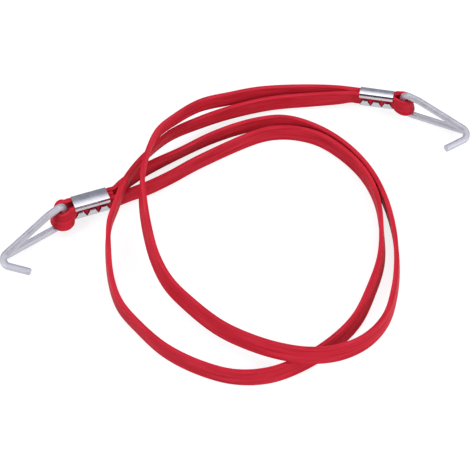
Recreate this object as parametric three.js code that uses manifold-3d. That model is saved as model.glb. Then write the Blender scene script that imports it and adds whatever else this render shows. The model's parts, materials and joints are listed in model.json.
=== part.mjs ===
// Flat-strap bungee cord: one rubber strap doubled into two strands, a toothed sheet-metal
// clip crimped over each end, and a bent wire hook that swings in the eye beyond each clip.
// Millimetres, +Z up. It lies on a table at z = 0, looped once round, with the origin on the
// table midway between the two hooked ends.

import * as THREE from 'three';
import { mergeVertices } from 'three/addons/utils/BufferGeometryUtils.js';
import Module from 'manifold-3d';

// Rubber strap
const strapWidth = 9;
const strapThickness = 2.6;
const strapEdgeRadius = 0.5;
const layerGap = 0.2;
const joinGap = 0.3;
const exitLength = 2;
const mouthLength = 2.5;
const stubLength = 3;
const heldEndShort = 9;
const strandSteps = 40;

// Crimp clip
const sheet = 0.7;
const clipLength = 20;
const squeezedLayer = 2.65;
const clipEdgeRoom = 0.3;
const foldRadius = 1;
const biteDepth = 0.8;
const lipBend = 1.5;
const upperLipZ = 1.3;
const lowerLipZ = -0.3;
const toothCount = 3;
const notchHalfWidth = 2.3;
const notchTopZ = 2.1;
const notchWaistZ = 0.4;
const notchBottomZ = -4;
const cutRoom = 0.25;

// Eye beyond each clip
const eyeHeld = 1;
const eyeLead = 1.2;
const eyeSpread = 0.7;
const eyeBendLength = 3;

// Wire hook
const wire = 4;
const wireSides = 12;
const wireSteps = 104;
const upperLegHeight = 7.8;
const lowerLegDepth = 6.9;
const hookReach = 46.3;
const legParallel = 9;
const legGap = 0.24;
const legTwist = 36;
const lowerLegShort = 5;
const baseBendRadius = 3;
const kneeRadius = 14;
const apexBendRadius = 4.2;
const tailLength = 19.8;
const tailAngle = 56;
const tailDrop = 1;

// How the ends lie on the table: the eye, the hook's seat in it as distances beyond the clip and
// forward of its middle, the mouth of the clip, and headings and tilts in degrees
const ends = {
  left: {
    front: 1,
    layers: 3,
    eye: {
      innerRadius: 3.6,
      reach: 5.8,
      forward: 0.7,
      taper: 0.21,
      lift: 0.6,
      frontFlare: 1.8,
      rearFlare: 1.8,
    },
    seat: [4.76, 0.99],
    mouth: [-77, -15.1],
    heading: 204,
    lean: -2.7,
    rise: 6,
    droop: 12,
    swing: 16,
  },
  right: {
    front: -1,
    layers: 2,
    eye: {
      innerRadius: 2.9,
      reach: 6.4,
      forward: -0.45,
      taper: 0.12,
      lift: 1.1,
      frontFlare: 1,
      rearFlare: 0,
    },
    seat: [4.8, -0.45],
    mouth: [69.2, 61],
    heading: -16.3,
    lean: 6,
    rise: 6.5,
    droop: 13.3,
    swing: -11.2,
  },
};

// Routes of the two strands from the left clip to the right one. Each row gives x, y, the lift
// of the strap above lying on the table, and the lean of its upper edge out of the loop in degrees.
const tableGap = 0.15;
const backRoute = [
  [-69.5, -5.5, 2.9, -3],
  [-62, 2.5, 1.9, -5],
  [-54.5, 9, 1, -8],
  [-38, 20, 0.2, -16],
  [-20.5, 31, 0, -18],
  [-3, 39, 0, -12],
  [11, 43, 0, -8],
  [21.5, 44, 0, -8],
  [32.5, 41.5, 0, -8],
  [48, 33, 0, -8],
  [61, 20.5, 0, -8],
  [71, 5.5, 0, -8],
  [77.5, -12, 0, -8],
  [81, -32, 0, -9],
  [81, -54, 0.6, -9],
  [77.5, -75, 2.4, -11],
  [71, -93, 4.9, -13],
  [60, -106, 7.2, -16],
  [46, -113.5, 9, -18],
  [31, -115.5, 9.7, -18],
  [16.5, -113, 9.2, -17],
  [1.5, -107, 7.6, -16],
  [-13.5, -98, 5.6, -17],
  [-29, -84, 4.2, -18],
  [-41, -70.5, 4.4, -19],
  [-48.5, -56, 6.2, -20],
  [-53, -41, 9.8, -18],
  [-56, -24, 14.4, -13],
  [-56.5, -9.5, 18.4, -7],
  [-54, 5.5, 20.2, -5],
  [-49.5, 18.5, 20, -5],
  [-40, 30.5, 18, -7],
  [-26.5, 44.5, 13.6, -8],
  [-9, 56, 6.8, -7],
  [9, 64, 2.6, -4],
  [33, 67, 1.1, -3],
  [54, 65.5, 2.3, -5],
];
const frontRoute = [
  [-65, -11.5, 2.2, -3],
  [-55, -6, 1.2, -2],
  [-43, 2, 0.3, -2],
  [-26, 14, 0, -2],
  [8.5, 33, 0, -4],
  [20.5, 35.5, 0, -5],
  [32, 34.5, 0, -5],
  [44, 30, 0, -5],
  [57.5, 18.5, 0, -6],
  [68, 3.5, 0, -6],
  [73.5, -13.5, 0, -6],
  [74.5, -33.5, 0, -6],
  [72.5, -53.5, 0, -6],
  [66, -72, 0, -7],
  [57, -90, 0, -7],
  [45, -103, 0, -8],
  [29.5, -114, 0, -8],
  [11.5, -121.5, 0, -8],
  [-6, -122.5, 0, -8],
  [-23.5, -117.5, 0, -8],
  [-41, -108, 0, -8],
  [-55, -95, 0, -8],
  [-66, -81.5, 0.1, -7],
  [-71.5, -67, 1, -6],
  [-74, -50, 4.4, -6],
  [-74, -36.5, 8.2, -5],
  [-70.5, -24.5, 11.4, -5],
  [-67, -12, 12.4, -5],
  [-62, 0, 11.6, -6],
  [-55.5, 11, 10.3, -8],
  [-43.5, 26, 8.6, -11],
  [-26.5, 38.5, 5.6, -13],
  [-9, 48.5, 2.9, -9],
  [15, 57, 1.3, -4],
  [39, 60, 1.2, -3],
  [56, 60.5, 2.4, -5],
];

// Worked-out sizes
const layerPitch = strapThickness + layerGap;
const wireRadius = wire / 2;
const clipHeight = strapWidth + 2 * (clipEdgeRoom + sheet);
const lyingHeight = strapWidth / 2 + tableGap;
const radians = THREE.MathUtils.degToRad;

const wasm = await Module();
wasm.setup();

const rubber = new THREE.MeshStandardMaterial({ color: 0xc8202f, roughness: 0.5, metalness: 0 });
const steel = new THREE.MeshStandardMaterial({ color: 0xc6c6d0, roughness: 0.25, metalness: 1 });

// Solids for cutting and back again

function toSolid(geometry) {
  const bare = geometry.clone();
  bare.deleteAttribute('normal');
  bare.deleteAttribute('uv');
  const merged = mergeVertices(bare, 1e-4);
  return new wasm.Manifold(new wasm.Mesh({
    numProp: 3,
    vertProperties: merged.attributes.position.array,
    triVerts: Uint32Array.from(merged.index.array),
  }));
}

function toGeometry(solid) {
  const mesh = solid.getMesh();
  const geometry = new THREE.BufferGeometry();
  geometry.setAttribute('position', new THREE.BufferAttribute(mesh.vertProperties, 3));
  geometry.setIndex(new THREE.BufferAttribute(mesh.triVerts, 1));
  geometry.computeVertexNormals();
  return geometry;
}

function makeMesh(name, geometry, material) {
  const mesh = new THREE.Mesh(geometry, material);
  mesh.name = name;
  return mesh;
}

// Closed outline of a sheet of even thickness that follows a flat centreline,
// run on at both ends by endRoom
function sheetOutline(centreline, thickness, endRoom = 0) {
  const last = centreline.length - 1;
  const along = (i) => {
    const before = centreline[Math.max(i - 1, 0)];
    const after = centreline[Math.min(i + 1, last)];
    return after.clone().sub(before).normalize();
  };
  const edge = (sign) => centreline.map((point, i) => {
    const tangent = along(i);
    const across = new THREE.Vector2(-tangent.y, tangent.x);
    const runOn = (i === last ? endRoom : 0) - (i === 0 ? endRoom : 0);
    return point.clone().addScaledVector(across, sign * thickness / 2).addScaledVector(tangent, runOn);
  });
  return new THREE.Shape([...edge(1), ...edge(-1).reverse()]);
}

// Crimp clip

function clipDepth(layers) {
  return layers * squeezedLayer + 2 * sheet;
}

// Centreline of the folded sheet, as (across, up): from the upper lip's tip over the top,
// down the back, under the strap and up the front to the lower lip's tip
function clipCentreline(layers, front) {
  const halfDepth = (clipDepth(layers) - sheet) / 2;
  const halfHeight = (clipHeight - sheet) / 2;
  const inY = halfDepth - foldRadius;
  const inZ = halfHeight - foldRadius;
  const path = new THREE.Path();
  path.moveTo(halfDepth - biteDepth, upperLipZ);
  path.quadraticCurveTo(halfDepth, upperLipZ + lipBend / 2, halfDepth, upperLipZ + lipBend);
  path.absarc(inY, inZ, foldRadius, 0, Math.PI / 2);
  path.absarc(-inY, inZ, foldRadius, Math.PI / 2, Math.PI);
  path.absarc(-inY, -inZ, foldRadius, Math.PI, 1.5 * Math.PI);
  path.absarc(inY, -inZ, foldRadius, 1.5 * Math.PI, 2 * Math.PI);
  path.lineTo(halfDepth, lowerLipZ - lipBend);
  path.quadraticCurveTo(halfDepth, lowerLipZ - lipBend / 2, halfDepth - biteDepth, lowerLipZ);
  return path.getPoints(3).map((point) => new THREE.Vector2(front * point.x, point.y));
}

// Kite-shaped cut between two teeth, drawn in by room on every side
function notchShape(x, room) {
  const upperSide = Math.hypot(notchHalfWidth, notchTopZ - notchWaistZ);
  const lowerSide = Math.hypot(notchHalfWidth, notchWaistZ - notchBottomZ);
  const inRadius = notchHalfWidth * (notchTopZ - notchBottomZ) / (upperSide + lowerSide);
  const middleZ = notchBottomZ + inRadius * lowerSide / notchHalfWidth;
  const scale = 1 - room / inRadius;
  const corner = (dx, z) => new THREE.Vector2(x + scale * dx, middleZ + scale * (z - middleZ));
  return new THREE.Shape([
    corner(0, notchTopZ),
    corner(-notchHalfWidth, notchWaistZ),
    corner(0, notchBottomZ),
    corner(notchHalfWidth, notchWaistZ),
  ]);
}

// The clip as a solid from x = 0 to clipLength, grown by room on every side
function clipSolid(layers, front, room = 0) {
  const outline = sheetOutline(clipCentreline(layers, front), sheet + 2 * room, room);
  const length = clipLength + 2 * room;
  const folded = new THREE.ExtrudeGeometry(outline, { depth: length, bevelEnabled: false });
  folded.applyMatrix4(new THREE.Matrix4().set(
    0, 0, 1, -room,
    1, 0, 0, 0,
    0, 1, 0, 0,
    0, 0, 0, 1,
  ));
  const cutDepth = clipDepth(layers);
  let solid = toSolid(folded);
  for (let i = 0; i <= toothCount; i += 1) {
    const shape = notchShape(i * clipLength / toothCount, room);
    const cutter = new THREE.ExtrudeGeometry(shape, { depth: cutDepth, bevelEnabled: false });
    cutter.rotateX(Math.PI / 2);
    cutter.translate(0, front > 0 ? cutDepth : 0, 0);
    solid = solid.subtract(toSolid(cutter));
  }
  return solid;
}

// Rubber held in the clip

// A strap that follows a flat centreline seen from above, with eased edges
function strapAlong(centreline) {
  const geometry = new THREE.ExtrudeGeometry(sheetOutline(centreline, strapThickness), {
    depth: strapWidth - 2 * strapEdgeRadius,
    bevelThickness: strapEdgeRadius,
    bevelSize: strapEdgeRadius,
    bevelOffset: -strapEdgeRadius,
    bevelSegments: 2,
  });
  return geometry.translate(0, 0, strapEdgeRadius - strapWidth / 2);
}

// Centreline of an eye: out of the clip at outY, round the hook's base wire and into the clip
// again at -outY. Where a clamped end takes up that layer, the strap crosses over to returnY.
function eyeCentreline(eye, outY, returnY, middleY, returnX) {
  const middleX = clipLength + eye.reach;
  const sideX = middleX - eyeSpread * eye.reach;
  const leadX = clipLength + eyeLead;
  const heldX = clipLength - eyeHeld;
  const radius = eye.innerRadius + strapThickness / 2;
  const turn = Math.sign(outY);
  const outSide = middleY + turn * radius;
  const returnSide = middleY - turn * radius;
  const path = new THREE.Path();
  path.moveTo(-mouthLength, outY);
  path.lineTo(heldX, outY);
  path.bezierCurveTo(leadX, outY, sideX, outSide, middleX, outSide);
  path.absarc(middleX, middleY, radius, turn * Math.PI / 2, -turn * Math.PI / 2, turn > 0);
  path.bezierCurveTo(sideX, returnSide, leadX, -outY, heldX, -outY);
  if (returnY !== -outY) {
    const crossedX = clipLength - heldEndShort + layerGap;
    const crossingX = (heldX + crossedX) / 2;
    path.bezierCurveTo(crossingX, -outY, crossingX, returnY, crossedX, returnY);
  }
  path.lineTo(returnX, returnY);
  return path.getPoints(8);
}

// Draws the loop in towards its upper edge, lets it droop from the clip's mouth, lifts its front,
// and flares the front's lower edge and the rear's upper edge
function shapeEye(geometry, eye, front, middleY, droop) {
  const points = geometry.attributes.position;
  const point = new THREE.Vector3();
  const middleX = clipLength + eye.reach;
  const outerRadius = eye.innerRadius + strapThickness;
  const fall = Math.tan(radians(droop));
  const { smoothstep } = THREE.MathUtils;
  for (let i = 0; i < points.count; i += 1) {
    point.fromBufferAttribute(points, i);
    const share = smoothstep(point.x, clipLength, clipLength + eyeBendLength);
    const flaring = smoothstep(point.x, clipLength, middleX);
    const height = point.z / (strapWidth / 2);
    const scale = 1 - share * eye.taper * height;
    point.x = middleX + scale * (point.x - middleX);
    point.y = middleY + scale * (point.y - middleY);
    const forward = front * (point.y - middleY);
    const frontShare = smoothstep(forward, 0, outerRadius);
    const rearShare = smoothstep(-forward, 0, outerRadius);
    const frontFlare = eye.frontFlare * frontShare * Math.min(height, 0) ** 2;
    const rearFlare = eye.rearFlare * rearShare * Math.max(height, 0) ** 2;
    point.y += front * flaring * (frontFlare - rearFlare);
    point.z += share * (eye.lift * frontShare - fall * (point.x - clipLength));
    points.setXYZ(i, point.x, point.y, point.z);
  }
  return geometry;
}

// Wire hook

// Circular bend in a wire from one straight to the next
class BendCurve extends THREE.Curve {
  constructor(corner, towardsStart, towardsEnd, radius) {
    super();
    const half = towardsStart.angleTo(towardsEnd) / 2;
    const inward = towardsStart.clone().add(towardsEnd).normalize();
    this.centre = corner.clone().addScaledVector(inward, radius / Math.sin(half));
    this.start = corner.clone().addScaledVector(towardsStart, radius / Math.tan(half));
    this.end = corner.clone().addScaledVector(towardsEnd, radius / Math.tan(half));
    this.sweep = Math.PI - 2 * half;
    this.axis = towardsEnd.clone().cross(towardsStart).normalize();
  }

  getPoint(t, target = new THREE.Vector3()) {
    target.copy(this.start).sub(this.centre);
    return target.applyAxisAngle(this.axis, t * this.sweep).add(this.centre);
  }
}

// Path of a wire bent at each inner corner to its own radius
function bentWire(corners, radii) {
  const path = new THREE.CurvePath();
  let from = corners[0];
  for (let i = 1; i < corners.length - 1; i += 1) {
    const towardsStart = corners[i - 1].clone().sub(corners[i]).normalize();
    const towardsEnd = corners[i + 1].clone().sub(corners[i]).normalize();
    const bend = new BendCurve(corners[i], towardsStart, towardsEnd, radii[i - 1]);
    path.add(new THREE.LineCurve3(from, bend.start));
    path.add(bend);
    from = bend.end;
  }
  path.add(new THREE.LineCurve3(from, corners.at(-1)));
  return path;
}

// The hook with its base wire on the z axis: the lower leg ends in the crook of the bend, and
// the upper leg turns at the apex into the tail on the front side
function hookGeometry(front) {
  const angle = radians(tailAngle);
  const twist = radians(legTwist);
  const apart = new THREE.Vector3(0, front * Math.sin(twist), Math.cos(twist));
  apart.multiplyScalar((wire + legGap) / 2);
  const apex = new THREE.Vector3(hookReach, 0, 0).add(apart);
  const tail = new THREE.Vector3(-Math.cos(angle), front * Math.sin(angle), 0).multiplyScalar(tailLength);
  const corners = [
    new THREE.Vector3(hookReach - lowerLegShort, 0, 0).sub(apart),
    new THREE.Vector3(legParallel, 0, -lowerLegDepth),
    new THREE.Vector3(0, 0, -lowerLegDepth),
    new THREE.Vector3(0, 0, upperLegHeight),
    new THREE.Vector3(legParallel, 0, upperLegHeight),
    apex,
    apex.clone().add(tail).add(new THREE.Vector3(0, 0, -tailDrop)),
  ];
  const radii = [kneeRadius, baseBendRadius, baseBendRadius, kneeRadius, apexBendRadius];
  const section = new THREE.Shape();
  section.absarc(0, 0, wireRadius, 0, 2 * Math.PI);
  return new THREE.ExtrudeGeometry(new THREE.Shape(section.getSpacedPoints(wireSides)), {
    extrudePath: bentWire(corners, radii),
    steps: wireSteps,
  });
}

// Ends

function makeEnd(side) {
  const { front, layers, eye, seat, mouth, heading, lean, rise, droop, swing } = ends[side];
  const end = new THREE.Group();
  end.rotation.set(radians(lean), -radians(rise), radians(heading), 'ZYX');

  const outY = front * layerPitch * (layers - 1) / 2;
  const returnY = outY - front * layerPitch;
  const eyeY = front * eye.forward;
  const clip = clipSolid(layers, front);
  const room = clipSolid(layers, front, cutRoom);
  const returnX = layers > 2 ? -stubLength : -mouthLength;
  const loop = strapAlong(eyeCentreline(eye, outY, returnY, eyeY, returnX));
  shapeEye(loop, eye, front, eyeY, droop);
  end.add(makeMesh(`clip_${side}`, toGeometry(clip), steel));
  end.add(makeMesh(`eye_${side}`, toGeometry(toSolid(loop).subtract(room)), rubber));
  if (layers > 2) {
    const heldEnd = [
      new THREE.Vector2(-mouthLength, -outY),
      new THREE.Vector2(clipLength - heldEndShort, -outY),
    ];
    const held = toSolid(strapAlong(heldEnd)).subtract(room);
    end.add(makeMesh(`strap_end_${side}`, toGeometry(held), rubber));
  }

  const eyeFrame = new THREE.Group();
  eyeFrame.position.x = clipLength;
  eyeFrame.rotation.y = radians(droop);
  const hook = makeMesh(`hook_${side}`, hookGeometry(front), steel);
  hook.position.set(seat[0], front * seat[1], 0);
  hook.rotation.z = radians(swing);
  eyeFrame.add(hook);
  end.add(eyeFrame);

  // The lowest point of the hook lies on the table
  end.updateMatrixWorld(true);
  const lowest = new THREE.Box3().setFromObject(hook, true).min.z;
  end.position.set(mouth[0], mouth[1], -lowest);
  end.updateMatrixWorld(true);
  return end;
}

// Strands

// Smooth route of a strap that keeps its width direction upright, apart from the lean given
// at each of its points
class StrapPath extends THREE.CatmullRomCurve3 {
  constructor(points, leans) {
    super(points, false, 'centripetal');
    this.leans = leans;
  }

  leanAt(u) {
    const place = this.getUtoTmapping(u) * (this.leans.length - 1);
    const index = Math.min(Math.floor(place), this.leans.length - 2);
    return radians(THREE.MathUtils.lerp(this.leans[index], this.leans[index + 1], place - index));
  }

  computeFrenetFrames(segments) {
    const frames = { tangents: [], normals: [], binormals: [] };
    for (let i = 0; i <= segments; i += 1) {
      const u = i / segments;
      const tangent = this.getTangentAt(u);
      const left = new THREE.Vector3(-tangent.y, tangent.x, 0).normalize();
      const up = tangent.clone().cross(left);
      const lean = this.leanAt(u);
      const width = up.multiplyScalar(Math.cos(lean)).addScaledVector(left, Math.sin(lean));
      frames.tangents.push(tangent);
      frames.normals.push(width.clone().cross(tangent));
      frames.binormals.push(width);
    }
    return frames;
  }
}

// Rectangle with eased corners, thickness along x and width along y
function strapSection() {
  const x = strapThickness / 2;
  const y = strapWidth / 2;
  const r = strapEdgeRadius;
  const shape = new THREE.Shape();
  shape.absarc(x - r, y - r, r, 0, Math.PI / 2);
  shape.absarc(r - x, y - r, r, Math.PI / 2, Math.PI);
  shape.absarc(r - x, r - y, r, Math.PI, 1.5 * Math.PI);
  shape.absarc(x - r, r - y, r, 1.5 * Math.PI, 2 * Math.PI);
  return new THREE.Shape(shape.getPoints(1));
}

// Where a strand leaves a clip: its meeting face and a point a little further on, straight out
function strandExit(end, layerY) {
  const face = -mouthLength - joinGap;
  const onwards = face - exitLength;
  return [face, onwards].map((x) => end.localToWorld(new THREE.Vector3(x, layerY, 0)));
}

function makeStrand(name, route, leftEnd, leftY, rightEnd, rightY) {
  const points = [
    ...strandExit(leftEnd, leftY),
    ...route.map(([x, y, lift]) => new THREE.Vector3(x, y, lyingHeight + lift)),
    ...strandExit(rightEnd, rightY).reverse(),
  ];
  const leans = [
    ends.left.lean,
    ends.left.lean,
    ...route.map((row) => row[3]),
    -ends.right.lean,
    -ends.right.lean,
  ];
  const geometry = new THREE.ExtrudeGeometry(strapSection(), {
    extrudePath: new StrapPath(points, leans),
    steps: strandSteps,
  });
  return makeMesh(name, geometry, rubber);
}

const bungee = new THREE.Group();
const leftEnd = makeEnd('left');
const rightEnd = makeEnd('right');
const layerY = (end) => end.front * layerPitch * (end.layers - 1) / 2;
const leftY = layerY(ends.left);
const rightY = layerY(ends.right);
bungee.add(leftEnd, rightEnd);
bungee.add(makeStrand('strap_back', backRoute, leftEnd, -leftY, rightEnd, -rightY));
bungee.add(makeStrand('strap_front', frontRoute, leftEnd, leftY, rightEnd, rightY));

const endsBox = new THREE.Box3().expandByObject(leftEnd, true).expandByObject(rightEnd, true);
const midway = endsBox.getCenter(new THREE.Vector3());
bungee.position.set(-midway.x, -midway.y, 0);

export default bungee;
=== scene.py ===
"""Looks of a flat-strap bungee cord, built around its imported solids. Metres and degrees, +Z up."""

import json
from math import cos, hypot, pi, radians, sin, tan

import bmesh
import bpy
import numpy as np
from mathutils import Matrix, Vector


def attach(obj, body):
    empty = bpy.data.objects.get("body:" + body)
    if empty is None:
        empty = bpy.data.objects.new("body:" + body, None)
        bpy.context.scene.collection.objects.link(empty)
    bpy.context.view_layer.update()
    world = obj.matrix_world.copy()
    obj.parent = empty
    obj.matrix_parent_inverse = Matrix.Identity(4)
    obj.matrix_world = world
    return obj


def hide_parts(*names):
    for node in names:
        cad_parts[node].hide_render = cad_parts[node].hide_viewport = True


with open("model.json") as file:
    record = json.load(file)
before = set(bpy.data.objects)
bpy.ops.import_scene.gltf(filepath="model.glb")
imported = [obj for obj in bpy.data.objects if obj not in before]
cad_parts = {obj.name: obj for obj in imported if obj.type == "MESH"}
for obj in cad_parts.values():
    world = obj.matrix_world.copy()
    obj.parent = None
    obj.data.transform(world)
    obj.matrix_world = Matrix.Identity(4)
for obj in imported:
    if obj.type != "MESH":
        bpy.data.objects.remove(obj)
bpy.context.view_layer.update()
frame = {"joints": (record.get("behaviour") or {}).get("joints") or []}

# Rubber strap
STRAP_WIDTH = 0.009
STRAP_THICKNESS = 0.0026
STRAP_EDGE_RADIUS = 0.00035
LAYER_PITCH = 0.0028
MOUTH_LENGTH = 0.0025
EXIT_LENGTH = 0.0023
STUB_LENGTH = 0.003
HELD_END_SHORT = 0.009
LAYER_GAP = 0.0002
LYING_HEIGHT = 0.00465

# Crimp clip
SHEET = 0.0007
CLIP_LENGTH = 0.02
SQUEEZED_LAYER = 0.00265
CLIP_EDGE_ROOM = 0.0003
FOLD_RADIUS = 0.001
BITE_DEPTH = 0.0008
LIP_BEND = 0.0015
UPPER_LIP_Z = 0.0021
LOWER_LIP_Z = -0.0003
TOOTH_COUNT = 3
NOTCH_HALF_WIDTH = 0.0023
NOTCH_TOP_Z = 0.0029
NOTCH_WAIST_Z = 0.0004
NOTCH_BOTTOM_Z = -0.004
UPPER_NOTCH_HEIGHT = NOTCH_TOP_Z - NOTCH_WAIST_Z
LOWER_NOTCH_HEIGHT = NOTCH_WAIST_Z - NOTCH_BOTTOM_Z
CLIP_EDGE_EASE = 0.0002
CLIP_EASE_ANGLE = 50
CLIP_CROWN = 0.00012
CLIP_CROWN_START = 0.9
TOOTH_CURL = 0.0003

# Rubber in the clip: how far its squeeze fades outside and inside the clip's ends, how deep under
# its face the lips act, and how far it swells between the lips and through the notches
SQUEEZE_OUTSIDE = 0.0015
SQUEEZE_INSIDE = 0.0005
SHEET_ROOM = 0.00005
PRESS_DEEPEST = 0.0016
PRESS_FULL = 0.0002
GAP_SWELL = 0.0004
NOTCH_SWELL = 0.0005
NOTCH_SWELL_FULL = 0.9
NOTCH_SHARE_LEAST = 0.001

# Eye beyond each clip
EYE_HELD = 0.001
EYE_LEAD = 0.0012
EYE_SPREAD = 0.7
EYE_BEND_LENGTH = 0.003
EYE_PULL_START = 0.0017
EYE_PULL_LENGTH = 0.0018

# Wire hook
WIRE_RADIUS = 0.002
WIRE_SIDES = 32
UPPER_LEG_HEIGHT = 0.0078
LOWER_LEG_DEPTH = 0.0069
HOOK_REACH = 0.0463
LEG_PARALLEL = 0.009
LEG_GAP = 0.00024
LEG_TWIST = 36
LOWER_LEG_SHORT = 0.005
BASE_BEND_RADIUS = 0.003
KNEE_RADIUS = 0.014
APEX_BEND_RADIUS = 0.0042
TAIL_LENGTH = 0.0198
TAIL_ANGLE = 56
TAIL_DROP = 0.001
CUT_EASE = 0.0003

# Fineness of the meshes
SMOOTH_ANGLE = 40
STRAND_STEP = 0.0012
SPLINE_POINTS = 25
STRAND_FLATS = 10
EYE_FLATS = 30
EYE_STEP = 0.00025
EYE_SIDE_STEPS = 28
EYE_NOSE_STEPS = 48
EYE_CROSSING_STEPS = 24
HELD_END_FLATS = 8
HELD_END_POINTS = 60
LIP_STEPS = 12
FOLD_STEPS = 7
UPPER_LIP_ROWS = 15
LOWER_LIP_ROWS = 25
TOOTH_COLUMNS = 4
COLUMN_DIGITS = 9
WIRE_BEND_STEP = 0.0004
WIRE_BEND_LEAST = 6
WIRE_STRAIGHT_STEP = 0.001

# How each end lies: the side that the clip's toothed front faces, the strap's layers in the clip,
# the hook's seat beyond the clip and forward of its middle, the turns of clip, eye and hook, and
# the eye's shape. drooped says what taper, lift, flare, tuck and pull do to the eye.
ENDS = {
    "left": {
        "front": 1, "layers": 3, "seat": (0.00476, 0.00099),
        "heading": 204, "lean": -2.7, "rise": 6, "droop": 12, "swing": 16,
        "eye_radius": 0.0036, "eye_reach": 0.0058, "eye_forward": 0.0007, "eye_taper": 0.21,
        "eye_lift": 0.0006, "eye_flare": (0.0018, 0.0018), "eye_tuck": 0.002, "eye_pull": 0.0012,
    },
    "right": {
        "front": -1, "layers": 2, "seat": (0.0048, -0.00045),
        "heading": -16.3, "lean": 6, "rise": 6.5, "droop": 13.3, "swing": -11.2,
        "eye_radius": 0.0029, "eye_reach": 0.0064, "eye_forward": -0.00045, "eye_taper": 0.12,
        "eye_lift": 0.0011, "eye_flare": (0.001, 0), "eye_tuck": 0.001, "eye_pull": 0,
    },
}

# Routes of the two strands from the left clip to the right one: x, y, lift above lying on the floor
# and lean. They are shifted together, so that LEFT_MOUTH comes to the left clip's mouth.
LEFT_MOUTH = (-0.077, -0.0151)
BACK_ROUTE = [
    (-0.0695, -0.0055, 0.0029, 2),
    (-0.062, 0.0025, 0.0019, 3),
    (-0.0545, 0.009, 0.001, 1),
    (-0.038, 0.02, 0.0002, -8),
    (-0.0205, 0.031, 0, -2),
    (-0.003, 0.039, 0, 4),
    (0.011, 0.043, 0, 7),
    (0.0215, 0.044, 0, 8),
    (0.0325, 0.0415, 0, 7),
    (0.048, 0.033, 0, 3),
    (0.061, 0.0205, 0, 2),
    (0.071, 0.0055, 0, -2),
    (0.0775, -0.012, 0, -5),
    (0.081, -0.032, 0, -9),
    (0.081, -0.054, 0.0006, -11),
    (0.0775, -0.075, 0.0024, -13),
    (0.071, -0.093, 0.0049, -15),
    (0.06, -0.106, 0.0072, -20),
    (0.046, -0.1135, 0.009, -26),
    (0.031, -0.1155, 0.0097, -28),
    (0.0165, -0.113, 0.0092, -28),
    (0.0015, -0.107, 0.0076, -28),
    (-0.0135, -0.098, 0.0056, -28),
    (-0.029, -0.084, 0.0042, -27),
    (-0.041, -0.0705, 0.0044, -24),
    (-0.0485, -0.056, 0.0062, -20),
    (-0.053, -0.041, 0.0098, -20),
    (-0.056, -0.024, 0.0144, -17),
    (-0.0565, -0.0095, 0.0184, -5),
    (-0.054, 0.0055, 0.0202, -10),
    (-0.0495, 0.0185, 0.02, -12),
    (-0.04, 0.0305, 0.018, -8),
    (-0.0265, 0.0445, 0.0136, -3),
    (-0.009, 0.056, 0.0068, 3),
    (0.009, 0.064, 0.0026, 7),
    (0.033, 0.067, 0.0011, 8),
    (0.054, 0.0655, 0.0023, 4),
]
FRONT_ROUTE = [
    (-0.065, -0.0115, 0.0022, 3),
    (-0.055, -0.006, 0.0012, 7),
    (-0.043, 0.002, 0.0003, 7),
    (-0.026, 0.014, 0, 8),
    (0.0085, 0.033, 0, 12),
    (0.0205, 0.0355, 0, 14),
    (0.032, 0.0345, 0, 14),
    (0.044, 0.03, 0, 12),
    (0.0575, 0.0185, 0, 8),
    (0.068, 0.0035, 0, 3),
    (0.0735, -0.0135, 0, -3),
    (0.0745, -0.0335, 0, -9),
    (0.0725, -0.0535, 0, -18),
    (0.066, -0.072, 0, -22),
    (0.057, -0.09, 0, -24),
    (0.045, -0.103, 0, -24),
    (0.0295, -0.114, 0, -25),
    (0.0115, -0.1215, 0, -24),
    (-0.006, -0.1225, 0, -18),
    (-0.0235, -0.1175, 0, -17),
    (-0.041, -0.108, 0, -14),
    (-0.055, -0.095, 0, -9),
    (-0.066, -0.0815, 0.0001, -10),
    (-0.0715, -0.067, 0.001, -9),
    (-0.074, -0.05, 0.0044, -10),
    (-0.074, -0.0365, 0.0082, -6),
    (-0.0705, -0.0245, 0.0114, -4),
    (-0.067, -0.012, 0.0124, -5),
    (-0.062, 0, 0.0116, -13),
    (-0.0555, 0.011, 0.0103, -17),
    (-0.0435, 0.026, 0.0086, -9),
    (-0.0265, 0.0385, 0.0056, -1),
    (-0.009, 0.0485, 0.0029, 5),
    (0.015, 0.057, 0.0013, 11),
    (0.039, 0.06, 0.0012, 11),
    (0.056, 0.0605, 0.0024, 4),
]

# Corners of a section: the signs of its two directions, and the angle at which the arc starts
CORNERS = [(1, 1, 0), (-1, 1, 90), (-1, -1, 180), (1, -1, 270)]


def smooth(low, high, value):
    """0 below low, 1 above high, with an even S between them."""
    share = np.clip((np.asarray(value, float) - low) / (high - low), 0, 1)
    return share * share * (3 - 2 * share)


# Meshes

def make_piece(name, verts, faces, grain, body, slot, material, replaced):
    """A mesh piece that rides on a body. grain gives each vertex its place along and around it."""
    mesh = bpy.data.meshes.new(name)
    mesh.from_pydata([tuple(v) for v in verts], [], faces)
    bm = bmesh.new()
    bm.from_mesh(mesh)
    bmesh.ops.recalc_face_normals(bm, faces=bm.faces)
    bm.to_mesh(mesh)
    bm.free()
    layer = mesh.uv_layers.new(name="grain")
    for loop in mesh.loops:
        layer.data[loop.index].uv = grain[loop.vertex_index]
    mesh.polygons.foreach_set("use_smooth", [True] * len(mesh.polygons))
    mesh.set_sharp_from_angle(angle=radians(SMOOTH_ANGLE))
    mesh.materials.append(material)
    piece = bpy.data.objects.new(name, mesh)
    bpy.context.scene.collection.objects.link(piece)
    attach(piece, body)
    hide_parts(replaced)
    return piece


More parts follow.
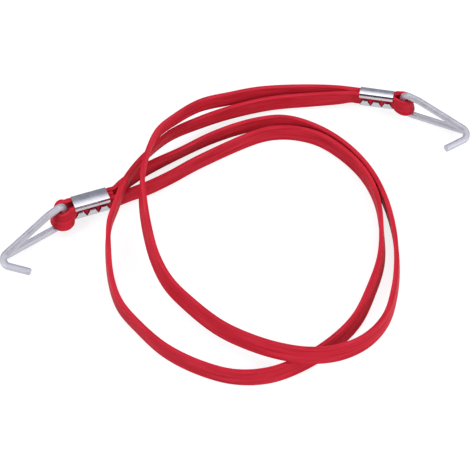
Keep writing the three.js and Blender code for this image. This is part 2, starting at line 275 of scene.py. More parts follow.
def tube(rings, end_ease=0):
    """Vertices, faces and grain of a closed tube through rings of points, its end edges eased."""
    rings = np.asarray(rings, float)
    if end_ease:
        rings = np.concatenate([eased_end(rings[:2], end_ease)[::-1], rings[1:-1],
                                eased_end(rings[:-3:-1], end_ease)])
    count, sides = rings.shape[:2]
    middle = rings.mean(1)
    along = np.concatenate([[0], np.cumsum(np.linalg.norm(np.diff(middle, axis=0), axis=1))])
    step = np.linalg.norm(np.roll(rings[count // 2], -1, axis=0) - rings[count // 2], axis=1)
    around = np.concatenate([[0], np.cumsum(step)[:-1]])
    verts = rings.reshape(-1, 3)
    grain = [(along[i], around[j]) for i in range(count) for j in range(sides)]
    faces = []
    for i in range(count - 1):
        for j in range(sides):
            k = (j + 1) % sides
            near, far = i * sides, (i + 1) * sides
            faces.append((near + j, near + k, far + k, far + j))
    faces.append(tuple(reversed(range(sides))))
    faces.append(tuple(range((count - 1) * sides, count * sides)))
    return verts, faces, grain


def eased_end(pair, ease, steps=4):
    """Rings that round off a tube's end edge. pair holds the end ring and the one next to it."""
    end, inner = pair
    middle = end.mean(0)
    inward = (inner.mean(0) - middle) / np.linalg.norm(inner.mean(0) - middle)
    size = np.linalg.norm(end - middle, axis=1).max()
    rings = []
    for angle in np.linspace(0, pi / 2, steps):
        drawn_in = 1 - ease * (1 - cos(angle)) / size
        rings.append(middle + (end - middle) * drawn_in + inward * ease * (1 - sin(angle)))
    return np.array(rings)


def corner_arc(corner, half_a, half_b, radius, steps):
    """Points of a section's rounded corner, its centre half_a and half_b from the middle."""
    sign_a, sign_b, start = corner
    turns = [radians(angle) for angle in np.linspace(start, start + 90, steps)]
    return [(sign_a * half_a + radius * cos(t), sign_b * half_b + radius * sin(t)) for t in turns]


def strap_section(flats, arc_steps=4):
    """Rounded outline of the strap as (thickness, width), flats points along each wide face."""
    half_t = STRAP_THICKNESS / 2 - STRAP_EDGE_RADIUS
    half_w = STRAP_WIDTH / 2 - STRAP_EDGE_RADIUS
    outline = []
    for corner in CORNERS:
        sign_t, sign_w = corner[:2]
        outline += corner_arc(corner, half_t, half_w, STRAP_EDGE_RADIUS, arc_steps)
        if sign_t * sign_w < 0:
            rows = np.linspace(sign_w * half_w, -sign_w * half_w, flats + 2)[1:-1]
            outline += [(sign_t * STRAP_THICKNESS / 2, w) for w in rows]
    return np.array(outline)


# Ends

class End:
    """Frame of one end: x from the clip's mouth out to the hook, z along the strap's width."""

    def __init__(self, side):
        for name, value in ENDS[side].items():
            setattr(self, name, value)
        self.side = side
        self.out_y = self.front * LAYER_PITCH * (self.layers - 1) / 2
        self.return_y = self.out_y - self.front * LAYER_PITCH
        self.eye_y = self.front * self.eye_forward
        self.eye_x = CLIP_LENGTH + self.eye_reach
        turn = Matrix.Rotation(radians(self.heading), 4, "Z")
        turn = turn @ Matrix.Rotation(-radians(self.rise), 4, "Y")
        turn = turn @ Matrix.Rotation(radians(self.lean), 4, "X")
        eye_frame = Matrix.Translation((CLIP_LENGTH, 0, 0))
        eye_frame = eye_frame @ Matrix.Rotation(radians(self.droop), 4, "Y")
        seated = Matrix.Translation((self.seat[0], self.front * self.seat[1], 0))
        joint = next(j for j in frame["joints"] if j["child"] == f"{side}_hook")
        base = turn @ (eye_frame @ seated).translation
        self.matrix = Matrix.Translation(Vector(joint["pos_m"]) - base) @ turn
        swing = Matrix.Rotation(radians(self.swing), 4, "Z")
        self.hook_matrix = self.matrix @ eye_frame @ seated @ swing

    def to_row(self, points):
        return moved(self.matrix, points)


def moved(matrix, points):
    """Points of any array shape (..., 3) taken through a matrix."""
    m = np.array(matrix)
    return np.asarray(points, float) @ m[:3, :3].T + m[:3, 3]


# Crimp clip

def clip_half_depth(layers):
    """Half the depth of a clip, to the middle of its sheet."""
    return (layers * SQUEEZED_LAYER + SHEET) / 2


def off_notch(x):
    """Distance along the clip to the middle of the nearest notch between teeth."""
    pitch = CLIP_LENGTH / TOOTH_COUNT
    return np.abs(x - pitch * np.clip(np.round(np.asarray(x) / pitch), 0, TOOTH_COUNT))


def clip_centreline(layers, front):
    """Middle of the folded sheet as (across, up): upper lip, round the back, lower lip."""
    half_depth = clip_half_depth(layers)
    half_height = STRAP_WIDTH / 2 + CLIP_EDGE_ROOM + SHEET / 2
    in_y = half_depth - FOLD_RADIUS
    in_z = half_height - FOLD_RADIUS

    def lip(tip_z, away, depth):
        curl = np.linspace(0, pi / 2, LIP_STEPS)
        across = half_depth - depth * (1 - np.sin(curl))
        up = tip_z + away * BITE_DEPTH * (1 - np.cos(curl))
        return list(zip(across, up))

    points = lip(UPPER_LIP_Z, 1, BITE_DEPTH)
    for corner in CORNERS:
        points += corner_arc(corner, in_y, in_z, FOLD_RADIUS, FOLD_STEPS)
    points += lip(LOWER_LIP_Z, -1, TOOTH_CURL)[::-1]
    line = np.array(points)
    crown = CLIP_CROWN * (1 - np.clip(line[:, 0] / half_depth, -1, 1) ** 2)
    line[:, 1] += crown * smooth(CLIP_CROWN_START * in_z, half_height, line[:, 1])
    line[:, 0] *= front
    return line


def clip_columns():
    """Places along the clip of its columns of vertices, with the notches' corners among them."""
    pitch = CLIP_LENGTH / TOOTH_COUNT
    upper_half = (NOTCH_TOP_Z - UPPER_LIP_Z) * NOTCH_HALF_WIDTH / UPPER_NOTCH_HEIGHT
    lower_half = (LOWER_LIP_Z - NOTCH_BOTTOM_Z) * NOTCH_HALF_WIDTH / LOWER_NOTCH_HEIGHT
    offsets = [0, upper_half / 2, upper_half, (upper_half + lower_half) / 2, lower_half]
    offsets += list(np.linspace(lower_half, pitch / 2, TOOTH_COLUMNS)[1:])
    columns = set()
    for i in range(TOOTH_COUNT + 1):
        for offset in offsets:
            columns.add(round(i * pitch - offset, COLUMN_DIGITS))
            columns.add(round(i * pitch + offset, COLUMN_DIGITS))
    return sorted(x for x in columns if 0 <= x <= CLIP_LENGTH)


def make_clip(end, material):
    """Folded sheet with toothed lips: a blank with two notched edges, wrapped round the strap."""
    line = clip_centreline(end.layers, end.front)
    along = np.concatenate([[0], np.cumsum(np.linalg.norm(np.diff(line, axis=0), axis=1))])
    tangent = np.gradient(line, along, axis=0)
    tangent /= np.linalg.norm(tangent, axis=1)[:, None]
    normal = np.stack([-tangent[:, 1], tangent[:, 0]], 1)
    lip_points = LIP_STEPS + 1
    wall_z = UPPER_LIP_Z + LIP_BEND

    def upper_reach(z):
        return np.interp(z, line[:lip_points, 1], along[:lip_points])

    def lower_reach(z):
        return np.interp(z, line[-lip_points:, 1], along[-lip_points:])

    columns = clip_columns()
    fixed = along[lip_points - 1:1 - lip_points]
    verts_out, verts_in, grain = [], [], []
    for x in columns:
        d = float(off_notch(x))
        upper_z = max(UPPER_LIP_Z, NOTCH_TOP_Z - d * UPPER_NOTCH_HEIGHT / NOTCH_HALF_WIDTH)
        lower_z = min(LOWER_LIP_Z, NOTCH_BOTTOM_Z + d * LOWER_NOTCH_HEIGHT / NOTCH_HALF_WIDTH)
        rows = np.concatenate([
            np.linspace(upper_reach(upper_z), upper_reach(wall_z), UPPER_LIP_ROWS)[:-1],
            fixed,
            np.linspace(fixed[-1], lower_reach(lower_z), LOWER_LIP_ROWS)[1:],
        ])
        for s in rows:
            y, z = (np.interp(s, along, line[:, k]) for k in (0, 1))
            ny, nz = (np.interp(s, along, normal[:, k]) for k in (0, 1))
            scale = SHEET / 2 / hypot(ny, nz)
            verts_out.append((x, y + ny * scale, z + nz * scale))
            verts_in.append((x, y - ny * scale, z - nz * scale))
            grain.append((x, s))
    row_count = len(verts_out) // len(columns)
    faces = sheet_faces(len(columns), row_count)
    verts = end.to_row(np.array(verts_out + verts_in))
    piece = make_piece(f"{end.side}_clip", verts, faces, grain + grain, "cord", "clip_steel",
                       material, f"clip_{end.side}")
    ease = piece.modifiers.new("eased_edges", "BEVEL")
    ease.width = CLIP_EDGE_EASE
    ease.segments = 2
    ease.limit_method = "ANGLE"
    ease.angle_limit = radians(CLIP_EASE_ANGLE)


def sheet_faces(columns, rows):
    """Faces of a sheet given as two grids of vertices, its two sides, joined round the rim."""
    def at(side, column, row):
        return side * columns * rows + column * rows + row

    faces = []
    for c in range(columns - 1):
        for r in range(rows - 1):
            for side in (0, 1):
                faces.append((at(side, c, r), at(side, c + 1, r),
                              at(side, c + 1, r + 1), at(side, c, r + 1)))
        for r in (0, rows - 1):
            faces.append((at(0, c, r), at(0, c + 1, r), at(1, c + 1, r), at(1, c, r)))
    for r in range(rows - 1):
        for c in (0, columns - 1):
            faces.append((at(0, c, r), at(0, c, r + 1), at(1, c, r + 1), at(1, c, r)))
    return faces


# Rubber

def held_by_clip(points, end):
    """Points of the strap, in the end's frame, squeezed by the clip: pressed in under the two lips
    and swollen out through the notches between the teeth."""
    x, y, z = (points[..., k] for k in range(3))
    held = smooth(-SQUEEZE_OUTSIDE, SQUEEZE_INSIDE, x)
    held = held * (1 - smooth(CLIP_LENGTH - SQUEEZE_INSIDE, CLIP_LENGTH + SQUEEZE_OUTSIDE, x))
    face = end.layers * SQUEEZED_LAYER / 2 - SHEET_ROOM
    free_face = (end.layers - 1) * LAYER_PITCH / 2 + STRAP_THICKNESS / 2
    y = y * (1 - held * (1 - face / free_face))
    outward = end.front * y
    near_face = smooth(face - PRESS_DEEPEST, face - PRESS_FULL, outward) * held

    lip_middle = (UPPER_LIP_Z + LOWER_LIP_Z) / 2
    lip_half_gap = (UPPER_LIP_Z - LOWER_LIP_Z) / 2
    from_lips = np.abs(z - lip_middle)
    pressed = BITE_DEPTH * (1 - smooth(lip_half_gap, lip_half_gap + LIP_BEND, from_lips))
    pressed -= GAP_SWELL * (1 - smooth(0, lip_half_gap, from_lips))
    above = (NOTCH_TOP_Z - z) / UPPER_NOTCH_HEIGHT
    below = (z - NOTCH_BOTTOM_Z) / LOWER_NOTCH_HEIGHT
    half_width = NOTCH_HALF_WIDTH * np.clip(np.minimum(above, below), NOTCH_SHARE_LEAST, 1)
    window = 1 - off_notch(x) / half_width
    swollen = smooth(0, NOTCH_SWELL_FULL, window)
    outward = outward + near_face * (NOTCH_SWELL * swollen - pressed * (1 - swollen))
    return np.stack([x, end.front * outward, z], -1)


def eye_centreline(end):
    """Middle of the strap as (x, y): out of the clip, round the hook's base wire and into it again.
    Where a clamped end takes up the layer that it comes back to, it crosses over to the next."""
    radius = end.eye_radius + STRAP_THICKNESS / 2
    side_x = end.eye_x - EYE_SPREAD * end.eye_reach
    lead_x = CLIP_LENGTH + EYE_LEAD
    held_x = CLIP_LENGTH - EYE_HELD
    out_side = end.eye_y + end.front * radius
    return_side = end.eye_y - end.front * radius

    def bezier(*corners, count):
        a, b, c, d = np.array(corners)
        t = np.linspace(0, 1, count + 1)[1:, None]
        return (1 - t) ** 3 * a + 3 * t * (1 - t) ** 2 * b + 3 * t * t * (1 - t) * c + t ** 3 * d

    def straight(x0, x1, y):
        count = round(abs(x1 - x0) / EYE_STEP)
        return np.stack([np.linspace(x0, x1, count + 1), np.full(count + 1, y)], 1)

    angles = end.front * np.linspace(pi / 2, -pi / 2, EYE_NOSE_STEPS + 1)[1:]
    nose = np.stack([end.eye_x + radius * np.cos(angles), end.eye_y + radius * np.sin(angles)], 1)
    parts = [
        straight(-MOUTH_LENGTH, held_x, end.out_y),
        bezier((held_x, end.out_y), (lead_x, end.out_y),
               (side_x, out_side), (end.eye_x, out_side), count=EYE_SIDE_STEPS),
        nose,
        bezier((end.eye_x, return_side), (side_x, return_side),
               (lead_x, -end.out_y), (held_x, -end.out_y), count=EYE_SIDE_STEPS),
    ]
    back_x = -MOUTH_LENGTH
    if end.layers > 2:
        crossed_x = CLIP_LENGTH - HELD_END_SHORT + LAYER_GAP
        middle_x = (held_x + crossed_x) / 2
        parts.append(bezier((held_x, -end.out_y), (middle_x, -end.out_y), (middle_x, end.return_y),
                            (crossed_x, end.return_y), count=EYE_CROSSING_STEPS))
        held_x = crossed_x
        back_x = -STUB_LENGTH
    parts.append(straight(held_x, back_x, end.return_y)[1:])
    return np.concatenate(parts)


def swept_strap(line, flats):
    """Rings of strap standing on edge along a flat line of (x, y) points."""
    tangent = np.gradient(line, axis=0)
    tangent /= np.linalg.norm(tangent, axis=1)[:, None]
    normal = np.stack([-tangent[:, 1], tangent[:, 0]], 1)
    section = strap_section(flats)
    flat = line[:, None, :] + normal[:, None, :] * section[None, :, :1]
    up = np.broadcast_to(section[:, 1], flat.shape[:2])
    return np.concatenate([flat, up[..., None]], -1)


def drooped(points, end):
    """Points of the eye tapered towards its upper edge and let down from the clip's end. Its front
    is lifted, flared below and pulled up near the clip. Its back is flared above and tucked in
    below."""
    share = smooth(CLIP_LENGTH, CLIP_LENGTH + EYE_BEND_LENGTH, points[..., 0])
    scale = 1 - share * end.eye_taper * points[..., 2] / (STRAP_WIDTH / 2)
    x = end.eye_x + scale * (points[..., 0] - end.eye_x) - CLIP_LENGTH
    y = end.eye_y + scale * (points[..., 1] - end.eye_y)
    outer = end.eye_radius + STRAP_THICKNESS
    forward = smooth(0, outer, end.front * (y - end.eye_y))
    rearward = smooth(0, outer, end.front * (end.eye_y - y))
    height = points[..., 2] / (STRAP_WIDTH / 2)
    flare = (end.eye_flare[0] * forward + end.eye_tuck * rearward) * np.minimum(height, 0) ** 2
    flare = flare - end.eye_flare[1] * rearward * np.maximum(height, 0) ** 2
    y = y + end.front * flare * smooth(CLIP_LENGTH, end.eye_x, points[..., 0])
    clear_of_wire = smooth(EYE_PULL_START, EYE_PULL_START + EYE_PULL_LENGTH, end.eye_reach - x)
    pulled = end.eye_pull * clear_of_wire * np.maximum(height, 0)
    pulled = pulled * smooth(0, outer / 2, end.front * (y - end.eye_y))
    z = points[..., 2] + share * (end.eye_lift * forward + pulled - tan(radians(end.droop)) * x)
    return np.stack([CLIP_LENGTH + x, y, z], -1)


def make_eye(end, material):
    rings = swept_strap(eye_centreline(end), EYE_FLATS)
    rings = end.to_row(drooped(held_by_clip(rings, end), end))
    make_piece(f"{end.side}_eye", *tube(rings), "cord", "rubber", material, f"eye_{end.side}")


def make_held_end(end, material):
    """Clamped end of the strap, in the layer of the clip behind the eye's two."""
    along = np.linspace(-MOUTH_LENGTH, CLIP_LENGTH - HELD_END_SHORT, HELD_END_POINTS)
    line = np.stack([along, np.full(HELD_END_POINTS, -end.out_y)], 1)
    rings = end.to_row(held_by_clip(swept_strap(line, HELD_END_FLATS), end))
    make_piece(f"{end.side}_held_end", *tube(rings), "cord", "rubber", material,
               f"strap_end_{end.side}")


def spline(rows):
    """Smooth line through rows of x, y, z, lean, with knots spaced by the root of the distance."""
    rows = np.asarray(rows, float)
    rows = np.concatenate([[2 * rows[0] - rows[1]], rows, [2 * rows[-1] - rows[-2]]])
    gaps = np.linalg.norm(np.diff(rows[:, :3], axis=0), axis=1) ** 0.5
    knots = np.concatenate([[0], np.cumsum(gaps)])
    line = []
    for i in range(1, len(rows) - 2):
        t = np.linspace(knots[i], knots[i + 1], SPLINE_POINTS)[:, None]
        p = rows[i - 1:i + 3]
        k = knots[i - 1:i + 3]
        first = [((k[j + 1] - t) * p[j] + (t - k[j]) * p[j + 1]) / (k[j + 1] - k[j])
                 for j in range(3)]
        second = [((k[j + 2] - t) * first[j] + (t - k[j]) * first[j + 1]) / (k[j + 2] - k[j])
                  for j in range(2)]
        piece = ((k[2] - t) * second[0] + (t - k[1]) * second[1]) / (k[2] - k[1])
        line.append(piece if i == len(rows) - 3 else piece[:-1])
    return np.concatenate(line)


def evenly_spaced(line, step):
    """Rows along a line of x, y, z and more, about a step apart."""
    along = np.concatenate([[0], np.cumsum(np.linalg.norm(np.diff(line[:, :3], axis=0), axis=1))])
    at = np.linspace(0, along[-1], round(along[-1] / step) + 1)
    return np.stack([np.interp(at, along, line[:, k]) for k in range(line.shape[1])], 1)


def strand_rows(route, left, left_y, right, right_y):
    """The strand's route in the row frame, straight out of both clips."""
    outwards = [-MOUTH_LENGTH, -MOUTH_LENGTH - EXIT_LENGTH]
    shift = left.matrix.translation.xy - Vector(LEFT_MOUTH)
    rows = [(*left.to_row((x, left_y, 0)), left.lean) for x in outwards]
    rows += [(x + shift.x, y + shift.y, LYING_HEIGHT + lift, lean) for x, y, lift, lean in route]
    rows += [(*right.to_row((x, right_y, 0)), -right.lean) for x in reversed(outwards)]
    return rows


def make_strand(name, replaced, rows, material):
    """Strap standing on edge along rows of x, y, z, lean, riding on the cord's body."""
    line = evenly_spaced(spline(rows), STRAND_STEP)
    middle = line[:, :3]
    lean = np.radians(line[:, 3])[:, None]
    tangent = np.gradient(middle, axis=0)
    tangent /= np.linalg.norm(tangent, axis=1)[:, None]
    left = np.stack([-tangent[:, 1], tangent[:, 0], np.zeros(len(tangent))], 1)
    left /= np.linalg.norm(left, axis=1)[:, None]
    width = np.cross(tangent, left) * np.cos(lean) + left * np.sin(lean)
    across = np.cross(width, tangent)
    section = strap_section(STRAND_FLATS)
    rings = middle[:, None] + across[:, None] * section[None, :, :1]
    rings = rings + width[:, None] * section[None, :, 1:]
    piece = make_piece(name, *tube(rings), "cord", "rubber", material, replaced)


# Wire hook

def hook_corners(front):
    """Corners of the bent wire, its base on the z axis, and the bend's radius at each inner one."""
    twist = radians(LEG_TWIST)
    tail = radians(TAIL_ANGLE)
    apart = Vector((0, front * sin(twist), cos(twist))) * (WIRE_RADIUS + LEG_GAP / 2)
    apex = Vector((HOOK_REACH, 0, 0)) + apart
    along_tail = Vector((-cos(tail), front * sin(tail), 0)) * TAIL_LENGTH
    corners = [
        Vector((HOOK_REACH - LOWER_LEG_SHORT, 0, 0)) - apart,
        Vector((LEG_PARALLEL, 0, -LOWER_LEG_DEPTH)),
        Vector((0, 0, -LOWER_LEG_DEPTH)),
        Vector((0, 0, UPPER_LEG_HEIGHT)),
        Vector((LEG_PARALLEL, 0, UPPER_LEG_HEIGHT)),
        apex,
        apex + along_tail + Vector((0, 0, -TAIL_DROP)),
    ]
    return corners, [KNEE_RADIUS, BASE_BEND_RADIUS, BASE_BEND_RADIUS, KNEE_RADIUS, APEX_BEND_RADIUS]


def bent_wire(corners, radii):
    """Points down the middle of a wire that is bent at each inner corner."""
    points = [corners[0]]
    for before, corner, after, radius in zip(corners, corners[1:], corners[2:], radii):
        back = (before - corner).normalized()
        on = (after - corner).normalized()
        half = back.angle(on) / 2
        start = corner + back * (radius / tan(half))
        centre = corner + (back + on).normalized() * (radius / sin(half))
        sweep = pi - 2 * half
        axis = on.cross(back).normalized()
        count = max(WIRE_BEND_LEAST, round(sweep * radius / WIRE_BEND_STEP))
        points += straight_run(points[-1], start)
        for i in range(count + 1):
            points.append(centre + Matrix.Rotation(sweep * i / count, 3, axis) @ (start - centre))
    points += straight_run(points[-1], corners[-1]) + [corners[-1]]
    return np.array([tuple(p) for p in points])


def straight_run(start, end):
    """Points between the two ends of a straight stretch of wire."""
    count = max(2, round((end - start).length / WIRE_STRAIGHT_STEP))
    return [start.lerp(end, i / count) for i in range(1, count)]


def make_hook(end, material):
    """Round wire swept along the bent line, with eased cut ends."""
    middle = bent_wire(*hook_corners(end.front))
    tangent = np.gradient(middle, axis=0)
    tangent /= np.linalg.norm(tangent, axis=1)[:, None]
    normal = Vector(tangent[0]).orthogonal().normalized()
    angles = np.linspace(0, 2 * pi, WIRE_SIDES, endpoint=False)
    rings = []
    for point, along in zip(middle, tangent):
        along = Vector(along)
        normal = (normal - along * normal.dot(along)).normalized()
        other = along.cross(normal)
        spokes = [(normal * cos(a) + other * sin(a)) * WIRE_RADIUS for a in angles]
        rings.append([Vector(point) + spoke for spoke in spokes])
    rings = moved(end.hook_matrix, np.array(rings))
    make_piece(f"{end.side}_hook_wire", *tube(rings, CUT_EASE), f"{end.side}_hook", "wire_steel",
               material, f"hook_{end.side}")


# Materials

RED_DEEP = (0.55, 0.016, 0.032, 1)
RED_LIGHT = (0.79, 0.038, 0.066, 1)
RED_LINE = (0.4, 0.007, 0.016, 1)
SHEET_DULL = (0.48, 0.48, 0.53, 1)
SHEET_BRIGHT = (0.57, 0.57, 0.61, 1)
WIRE_DULL = (0.54, 0.54, 0.6, 1)
WIRE_BRIGHT = (0.64, 0.64, 0.69, 1)


def new_material(name):
    material = bpy.data.materials.new(name)
    material.use_nodes = True
    tree = material.node_tree
    return material, tree, tree.nodes["Principled BSDF"]


def node(tree, kind, inputs=None, **settings):
    """A node with its settings, and each input given as a value or as another node's socket."""
    made = tree.nodes.new(kind)
    for name, value in settings.items():
        setattr(made, name, value)
    for name, value in (inputs or {}).items():
        if isinstance(value, bpy.types.NodeSocket):
            tree.links.new(value, made.inputs[name])
        else:
            made.inputs[name].default_value = value
    return made


def noise(tree, vector, scale, detail, roughness):
    inputs = {"Vector": vector, "Scale": scale, "Detail": detail, "Roughness": roughness}
    return node(tree, "ShaderNodeTexNoise", inputs).outputs["Fac"]


def place_noise(tree, scale, detail, roughness):
    """Noise in the piece's own space."""
    place = node(tree, "ShaderNodeTexCoord").outputs["Object"]
    return noise(tree, place, scale, detail, roughness)


def grain_noise(tree, along, around, detail, roughness):
    """Noise on the grain map, with one scale along the piece and one around it."""
    grain = node(tree, "ShaderNodeUVMap", uv_map="grain").outputs["UV"]
    inputs = {"Vector": grain, "Scale": (along, around, 1)}
    stretched = node(tree, "ShaderNodeMapping", inputs).outputs["Vector"]
    return noise(tree, stretched, 1, detail, roughness)


def between(tree, value, low, high, from_low=0.3, from_high=0.7):
    """low to high as a value goes from from_low to from_high, which as they stand suit a noise."""
    inputs = {"Value": value, "From Min": from_low, "From Max": from_high,
              "To Min": low, "To Max": high}
    return node(tree, "ShaderNodeMapRange", inputs).outputs["Result"]


def mixed(tree, share, first, second):
    """A colour from the first at share 0 to the second at share 1."""
    inputs = {"Factor": share, "A": first, "B": second}
    return node(tree, "ShaderNodeMix", inputs, data_type="RGBA").outputs["Result"]


def reckoned(tree, operation, first, second=0, clamped=False):
    """The result of a Math node."""
    inputs = {0: first, 1: second}
    return node(tree, "ShaderNodeMath", inputs, operation=operation, use_clamp=clamped).outputs[0]


def bump(tree, height, strength, distance, normal=None):
    inputs = {"Height": height, "Strength": strength, "Distance": distance}
    if normal:
        inputs["Normal"] = normal
    return node(tree, "ShaderNodeBump", inputs).outputs["Normal"]


def red_rubber():
    """Satin red rubber with bands and fine lines drawn along the strap."""
    material, tree, shader = new_material("red_rubber")
    lines = grain_noise(tree, along=25, around=3200, detail=4, roughness=0.6)
    bands = grain_noise(tree, along=40, around=620, detail=3, roughness=0.5)
    speckle = place_noise(tree, scale=2600, detail=2, roughness=0.5)
    tint = mixed(tree, between(tree, bands, low=0, high=1), RED_DEEP, RED_LIGHT)
    streaked = mixed(tree, between(tree, lines, low=0, high=0.22), tint, RED_LINE)
    tree.links.new(streaked, shader.inputs["Base Color"])
    tree.links.new(between(tree, lines, low=0.48, high=0.6), shader.inputs["Roughness"])
    normal = bump(tree, lines, strength=0.25, distance=0.0001)
    normal = bump(tree, speckle, strength=0.12, distance=0.00005, normal=normal)
    tree.links.new(normal, shader.inputs["Normal"])
    shader.inputs["Specular IOR Level"].default_value = 0.05
    return material


def plated_sheet():
    """Bright plated sheet steel with faint rolling lines, smudges and small dents."""
    material, tree, shader = new_material("plated_sheet")
    lines = grain_noise(tree, along=300, around=6000, detail=4, roughness=0.6)
    smudge = place_noise(tree, scale=260, detail=4, roughness=0.6)
    dents = place_noise(tree, scale=420, detail=2, roughness=0.5)
    tint = mixed(tree, between(tree, smudge, low=0, high=1), SHEET_DULL, SHEET_BRIGHT)
    tree.links.new(tint, shader.inputs["Base Color"])
    tree.links.new(between(tree, smudge, low=0.08, high=0.18), shader.inputs["Roughness"])
    normal = bump(tree, lines, strength=0.12, distance=0.00005)
    normal = bump(tree, dents, strength=0.08, distance=0.0002, normal=normal)
    tree.links.new(normal, shader.inputs["Normal"])
    shader.inputs["Metallic"].default_value = 1
    return material


def drawn_wire():
    """Pale plated wire with drawing marks along it and a slightly uneven, satin plating."""
    material, tree, shader = new_material("drawn_wire")
    lines = grain_noise(tree, along=60, around=2500, detail=4, roughness=0.6)
    patches = place_noise(tree, scale=180, detail=4, roughness=0.6)
    tint = mixed(tree, between(tree, patches, low=0, high=1), WIRE_DULL, WIRE_BRIGHT)
    tree.links.new(tint, shader.inputs["Base Color"])
    tree.links.new(between(tree, patches, low=0.55, high=0.68), shader.inputs["Roughness"])
    normal = bump(tree, lines, strength=0.15, distance=0.00006)
    tree.links.new(normal, shader.inputs["Normal"])
    shader.inputs["Metallic"].default_value = 1
    return material


# Studio

CAMERA_ELEVATION = 56
CAMERA_DISTANCE = 0.55
CAMERA_TARGET = (-0.005362, -0.034367, 0)
FRAME_PIXELS = 470
FOCAL_PIXELS = 995
SENSOR_WIDTH = 36
NEAR_LIMIT = 0.01

# The floor's colour for the light that it throws back, its colour where it is seen, straight or in
# metal, and the glow that lifts it to white there
FLOOR_SIZE = 4
FLOOR_COLOUR = (0.6, 0.6, 0.6, 1)
FLOOR_SEEN_COLOUR = (0.34, 0.34, 0.34, 1)
FLOOR_GLOW = 0.78

# Light round the object, by direction: walls that turn into the ceiling between two heights, a dark
# patch on the viewer's side that fades out sideways and overhead, and a pale horizon
WALL_LIGHT = (0.42, 0.43, 0.48, 1)
CEILING_LIGHT = (2.5, 2.5, 2.58, 1)
CEILING_EDGE = (0.8, 0.92)
PATCH_LIGHT = (0.03, 0.03, 0.035, 1)
PATCH_SIDE_EDGE = (0.4, 0.6)
PATCH_OVERHEAD_EDGE = (-0.18, 0)
HORIZON_LIGHT = (0.5, 0.5, 0.54, 1)
HORIZON_EDGE = (0.05, 0.12)

LAMP_SIZE = 0.6
LAMP_TARGET = (0, -0.02, 0)


def seen_as_background(tree):
    """1 for rays that show the background: camera rays, reflections and rays through glass."""
    path = node(tree, "ShaderNodeLightPath").outputs
    total = reckoned(tree, "ADD", path["Is Camera Ray"], path["Is Glossy Ray"])
    return reckoned(tree, "ADD", total, path["Is Transmission Ray"], clamped=True)


def make_floor():
    """Plain white floor that keeps the cord's shadow."""
    half = FLOOR_SIZE / 2
    corners = [(-half, -half, 0), (half, -half, 0), (half, half, 0), (-half, half, 0)]
    mesh = bpy.data.meshes.new("floor")
    mesh.from_pydata(corners, [], [(0, 1, 2, 3)])
    material = bpy.data.materials.new("white_floor")
    material.use_nodes = True
    tree = material.node_tree
    tree.nodes.remove(tree.nodes["Principled BSDF"])
    seen = seen_as_background(tree)
    colour = mixed(tree, seen, FLOOR_COLOUR, FLOOR_SEEN_COLOUR)
    matt = node(tree, "ShaderNodeBsdfDiffuse", {"Color": colour})
    strength = reckoned(tree, "MULTIPLY", seen, FLOOR_GLOW)
    glow = node(tree, "ShaderNodeEmission", {"Strength": strength})
    both = node(tree, "ShaderNodeAddShader", {0: matt.outputs[0], 1: glow.outputs[0]})
    tree.links.new(both.outputs[0], tree.nodes["Material Output"].inputs["Surface"])
    mesh.materials.append(material)
    floor = bpy.data.objects.new("floor", mesh)
    bpy.context.scene.collection.objects.link(floor)


def make_lamp(name, place, watts):
    """Soft round lamp that faces the cord."""
    light = bpy.data.lights.new(name, "AREA")
    light.shape = "DISK"
    light.size = LAMP_SIZE
    light.energy = watts
    lamp = bpy.data.objects.new(name, light)
    lamp.location = place
    facing = Vector(LAMP_TARGET) - Vector(place)
    lamp.rotation_euler = facing.to_track_quat("-Z", "Y").to_euler()
    bpy.context.scene.collection.objects.link(lamp)


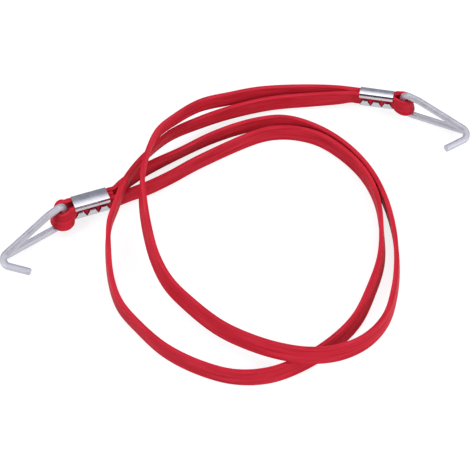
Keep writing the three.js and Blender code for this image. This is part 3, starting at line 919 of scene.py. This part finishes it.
def make_world():
    """Soft light from a pale ceiling and grey walls. The clips' folds mirror the dark patch."""
    world = bpy.data.worlds.new("studio")
    world.use_nodes = True
    tree = world.node_tree
    place = node(tree, "ShaderNodeTexCoord").outputs["Generated"]
    parts = node(tree, "ShaderNodeSeparateXYZ", {"Vector": place}).outputs
    room = mixed(tree, between(tree, parts["Z"], 0, 1, *CEILING_EDGE), WALL_LIGHT, CEILING_LIGHT)
    aside = between(tree, reckoned(tree, "ABSOLUTE", parts["X"]), 0, 1, *PATCH_SIDE_EDGE)
    beyond = between(tree, parts["Y"], 0, 1, *PATCH_OVERHEAD_EDGE)
    room = mixed(tree, reckoned(tree, "MAXIMUM", aside, beyond), PATCH_LIGHT, room)
    room = mixed(tree, between(tree, parts["Z"], 1, 0, *HORIZON_EDGE), room, HORIZON_LIGHT)
    background = tree.nodes["Background"]
    tree.links.new(room, background.inputs["Color"])
    background.inputs["Strength"].default_value = 1
    bpy.context.scene.world = world


def make_camera():
    """Camera at the photograph's viewing angle."""
    elevation = radians(CAMERA_ELEVATION)
    target = Vector(CAMERA_TARGET)
    camera = bpy.data.objects.new("camera", bpy.data.cameras.new("camera"))
    camera.location = target + CAMERA_DISTANCE * Vector((0, -cos(elevation), sin(elevation)))
    camera.rotation_euler = (pi / 2 - elevation, 0, 0)
    camera.data.sensor_width = SENSOR_WIDTH
    camera.data.lens = SENSOR_WIDTH * FOCAL_PIXELS / FRAME_PIXELS
    camera.data.clip_start = NEAR_LIMIT
    bpy.context.scene.collection.objects.link(camera)
    bpy.context.scene.camera = camera


# The cord

make_camera()
rubber = red_rubber()
left = End("left")
right = End("right")
back_rows = strand_rows(BACK_ROUTE, left, -left.out_y, right, -right.out_y)
front_rows = strand_rows(FRONT_ROUTE, left, left.out_y, right, right.out_y)
make_strand("back_strand", "strap_back", back_rows, rubber)
make_strand("front_strand", "strap_front", front_rows, rubber)
sheet_metal = plated_sheet()
wire_metal = drawn_wire()
for end in (left, right):
    make_eye(end, rubber)
    make_clip(end, sheet_metal)
    make_hook(end, wire_metal)
make_held_end(left, rubber)

make_floor()
make_world()
make_lamp("left_lamp", place=(-0.9, -0.6, 0.6), watts=4.5)
make_lamp("right_lamp", place=(0.9, -0.6, 0.6), watts=6)
bpy.context.scene.view_settings.view_transform = "Standard"
